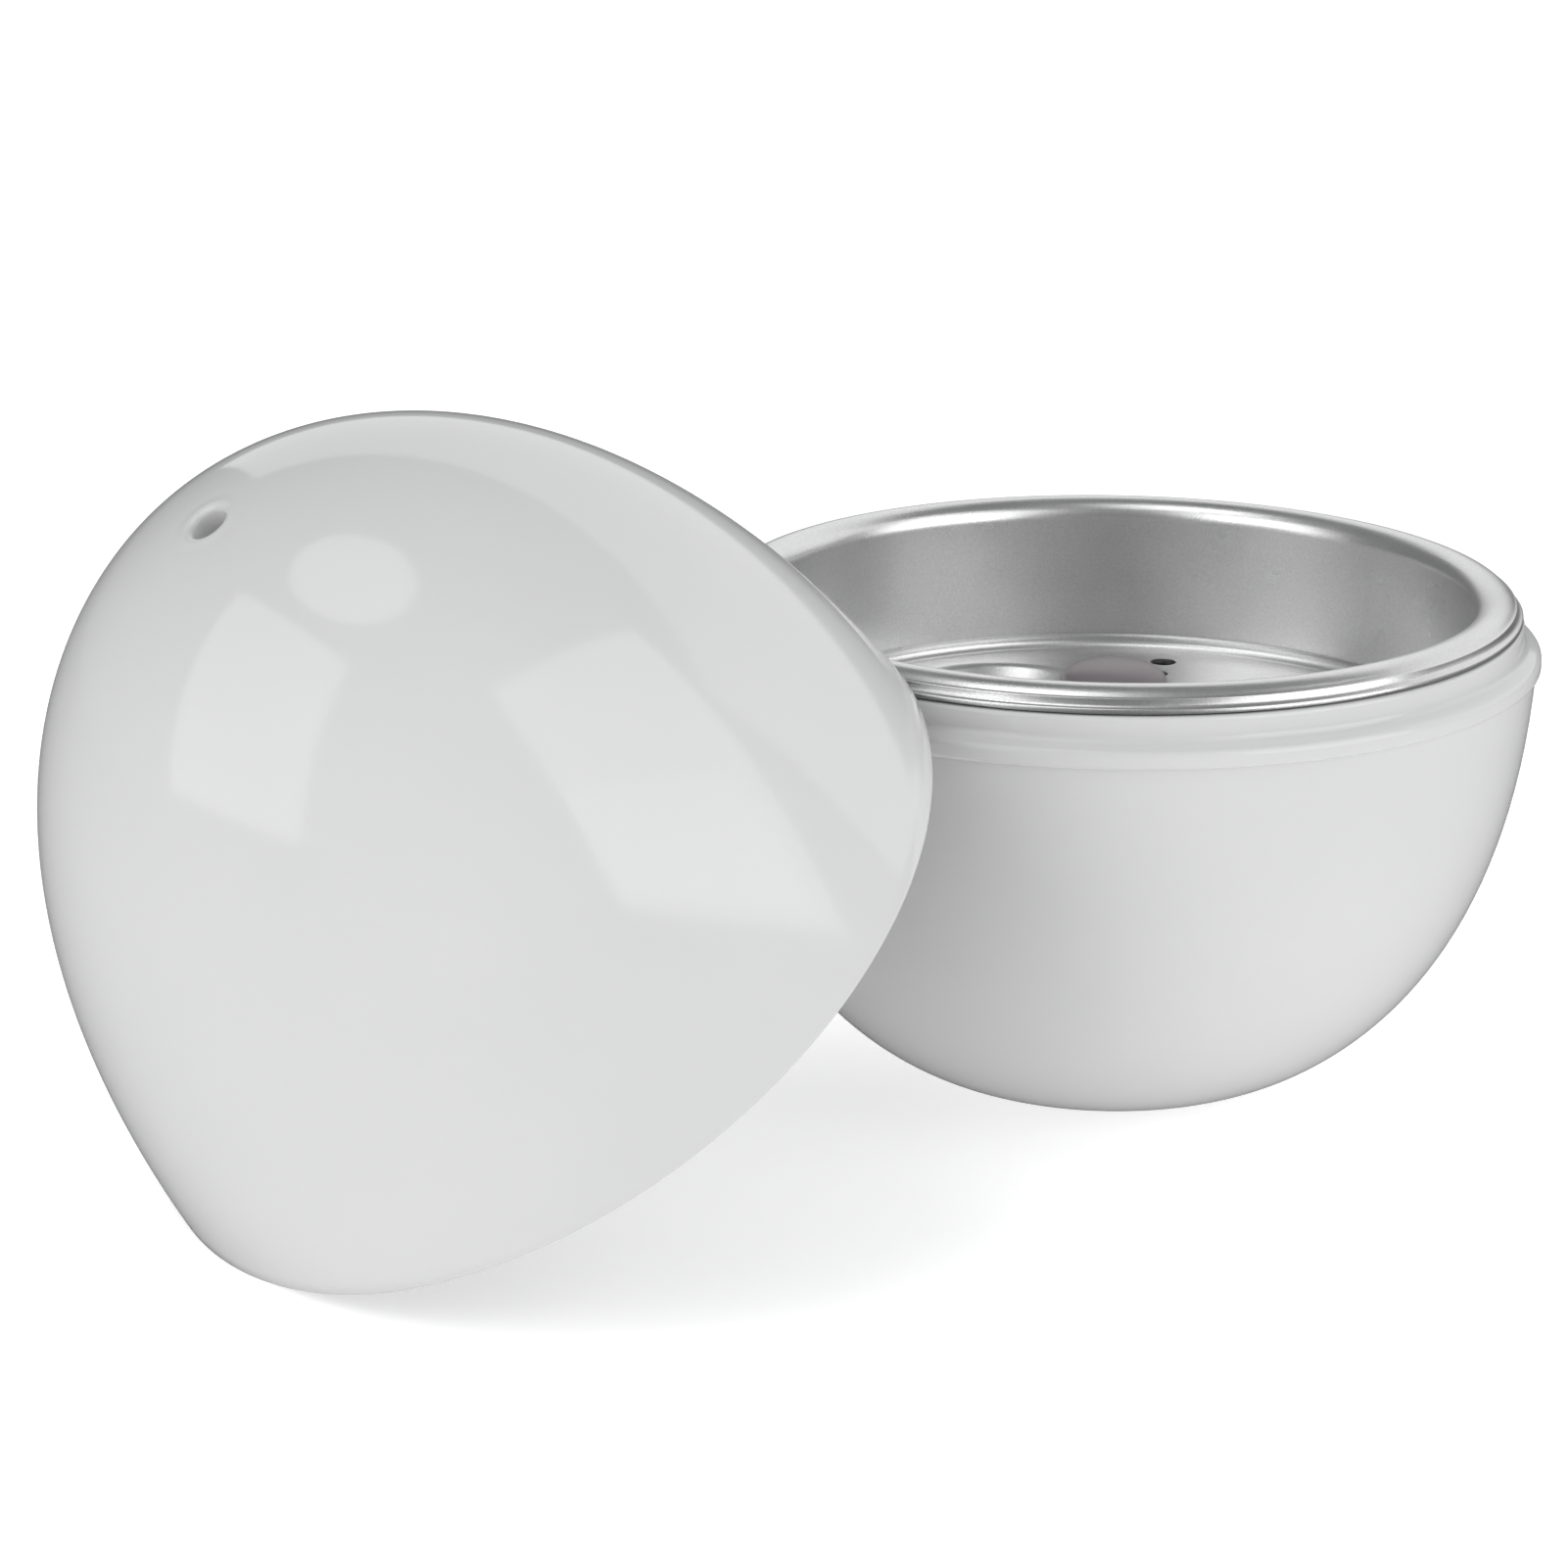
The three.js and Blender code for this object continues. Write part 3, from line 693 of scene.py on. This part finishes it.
def make_lid():
    wall = lid_wall()
    tube = VENT_RADIUS + VENT_TUBE_WALL
    inside = [p for p in beside(wall, -SHELL_WALL)[::-1] if p[0] > tube + 0.0008 and p[1] > 0.0054]
    top = wall[-1][1]
    edge = [
        (VENT_RADIUS + 0.0021, top + 0.00008),
        (VENT_RADIUS + 0.0017, top + 0.00022),
        (VENT_RADIUS + 0.0012, top + 0.00026),
        (VENT_RADIUS + 0.0007, top + 0.00014),
        (VENT_RADIUS + 0.0002, top - 0.0002),
        (VENT_RADIUS, top - 0.0007),
    ]
    spout = [
        (VENT_RADIUS, LID_HEIGHT - VENT_TUBE + 0.0003),
        (VENT_RADIUS + 0.0003, LID_HEIGHT - VENT_TUBE),
        (tube - 0.0003, LID_HEIGHT - VENT_TUBE),
        (tube, LID_HEIGHT - VENT_TUBE + 0.0003),
        (tube, inside[0][1] - 0.0006),
        (tube + 0.0002, inside[0][1] - 0.0001),
    ]
    rim = [
        (RIM_INSIDE, 0.0044), (RIM_INSIDE, 0.0006), (RIM_INSIDE + 0.0002, 0.00015),
        (RIM_INSIDE + 0.0006, 0), (SHELL_RADIUS - 0.0006, 0), (SHELL_RADIUS - 0.0002, 0.00015),
    ]
    lid = spun("lid_wall", wall + edge + spout + inside + rim, closed=True)
    under = LINER_EDGE - TOUCH - CLIP_SIZE[2] / 2
    above = LINER_EDGE + LINER_SHEET + TOUCH + CLIP_SIZE[2] / 2
    reach = inside_radius(LINER_EDGE) - 0.0002
    for i in range(2 * CLIP_COUNT):
        turn = math.pi * i / CLIP_COUNT
        cut(lid, make_clip(reach, turn, above if i % 2 else under), "UNION")
    soften(lid)
    place(lid, LID_PLACE)
    finish_piece(lid, WHITE_SHELL, "lid", "lid_shell")


def make_liner():
    drop = SHELL_WALL + LINER_AIR_GAP
    top = LID_HEIGHT - drop - LINER_SHEET
    throat = CREST_RADIUS - 0.0019
    flange = inside_radius(LINER_EDGE + LINER_SHEET) - 0.0005
    roll = arc((throat + 0.0016, LINER_EDGE + 0.0016), 0.0016, 270, 180, 8)
    dome = bezier(
        roll[-1], (SHELL_RADIUS - LID_FLARE - drop, LID_HEIGHT - LID_SHOULDER - drop / 2),
        (LID_CROWN, top), (LINER_VENT, top), 56,
    )
    inside = without_doubles([(flange, LINER_EDGE)] + roll + dome, 5e-5)
    outside = beside(inside, LINER_SHEET)[::-1]
    liner = spun("lining_sheet", inside + outside, closed=True)
    for i in range(LINER_STEAM_HOLES):
        turn = 2 * math.pi * i / LINER_STEAM_HOLES
        hole = drill(
            LINER_STEAM_HOLE, LID_HEIGHT - 0.03, LID_HEIGHT,
            LINER_STEAM_CIRCLE * math.cos(turn), LINER_STEAM_CIRCLE * math.sin(turn),
        )
        cut(liner, hole)
    soften(liner)
    place(liner, LID_PLACE)
    finish_piece(liner, LINER_METAL, "lid", "lid_liner")


make_lid()
make_liner()


# ------------------------------------------------------------------ floor and light
FLOOR_GLOW = 0.5
FLOOR_REFLECTED = 0.17
ROOM_LIGHT = 0.36
ROOM_REFLECTED = 0.20
LIGHT_TARGET = Vector((-0.10, -0.12, 0.09))
LIGHT_DISTANCE = 1.4


def make_floor():
    deselect()
    bpy.ops.mesh.primitive_plane_add(size=8, location=(0, 0, -0.0002))
    floor = bpy.context.object
    floor.name = "floor"
    settle()
    material, nodes, links, shader = new_material("pale_floor")
    grain = add_group(nodes, GRAIN, Grains_per_metre=40.0, Clouds_per_metre=2.0)
    tone = tint_between(nodes, links, grain.outputs["Cloud"], (0.92, 0.92, 0.92), (0.94, 0.94, 0.94))
    links.new(tone, shader.inputs["Base Color"])
    links.new(tone, shader.inputs["Emission Color"])
    shader.inputs["Emission Strength"].default_value = FLOOR_GLOW
    shader.inputs["Roughness"].default_value = 0.9
    shader.inputs["Specular IOR Level"].default_value = 0.1
    mirrored = nodes.new("ShaderNodeBsdfDiffuse")
    mirrored.inputs["Color"].default_value = (*[FLOOR_REFLECTED] * 3, 1)
    path = nodes.new("ShaderNodeLightPath")
    mix = nodes.new("ShaderNodeMixShader")
    links.new(path.outputs["Is Glossy Ray"], mix.inputs["Fac"])
    links.new(shader.outputs[0], mix.inputs[1])
    links.new(mirrored.outputs[0], mix.inputs[2])
    links.new(mix.outputs[0], nodes["Material Output"].inputs["Surface"])
    floor.data.materials.append(material)


def make_world():
    """White behind the object; a dimmer room for what lights it, dimmest in reflections."""
    world = bpy.data.worlds.new("studio")
    bpy.context.scene.world = world
    world.use_nodes = True
    nodes, links = world.node_tree.nodes, world.node_tree.links
    path = nodes.new("ShaderNodeLightPath")
    room = nodes["Background"]
    room.inputs["Color"].default_value = (0.98, 0.99, 1, 1)
    for ray, strength in (("Is Glossy Ray", ROOM_REFLECTED), ("Is Camera Ray", 1.0)):
        other = nodes.new("ShaderNodeBackground")
        other.inputs["Color"].default_value = (0.98, 0.99, 1, 1)
        other.inputs["Strength"].default_value = strength
        mix = nodes.new("ShaderNodeMixShader")
        links.new(path.outputs[ray], mix.inputs["Fac"])
        links.new(room.outputs[0], mix.inputs[1])
        links.new(other.outputs[0], mix.inputs[2])
        room = mix
    nodes["Background"].inputs["Strength"].default_value = ROOM_LIGHT
    links.new(room.outputs[0], nodes["World Output"].inputs["Surface"])


def add_softbox(name, azimuth, elevation, width, height, radiance, shape="RECTANGLE"):
    """A soft light that fills the given angles, as seen from the front of the lid."""
    across, up = math.radians(azimuth), math.radians(elevation)
    aim = Vector((math.cos(up) * math.cos(across), math.cos(up) * math.sin(across), math.sin(up)))
    data = bpy.data.lights.new(name, "AREA")
    data.shape = shape
    data.size = 2 * LIGHT_DISTANCE * math.tan(math.radians(width) / 2)
    data.size_y = 2 * LIGHT_DISTANCE * math.tan(math.radians(height) / 2)
    filled = math.pi / 4 if shape == "ELLIPSE" else 1
    data.energy = radiance * math.pi * filled * data.size * data.size_y
    light = bpy.data.objects.new(name, data)
    bpy.context.scene.collection.objects.link(light)
    light.rotation_euler = (-aim).to_track_quat("-Z", "Y").to_euler()
    light.location = LIGHT_TARGET + aim * LIGHT_DISTANCE


make_world()
make_floor()
add_softbox("left_window", -145, 27, 46, 52, 1.55)
add_softbox("right_window", -27, 27, 50, 48, 1.4)
add_softbox("right_lower_window", -30, 15, 44, 20, 0.5)
add_softbox("overhead", -140, 74, 34, 30, 1.7, "ELLIPSE")
add_softbox("backdrop", 62, 29, 92, 40, 0.75)

scene = bpy.context.scene
scene.view_settings.view_transform = "Standard"
scene.view_settings.look = "None"
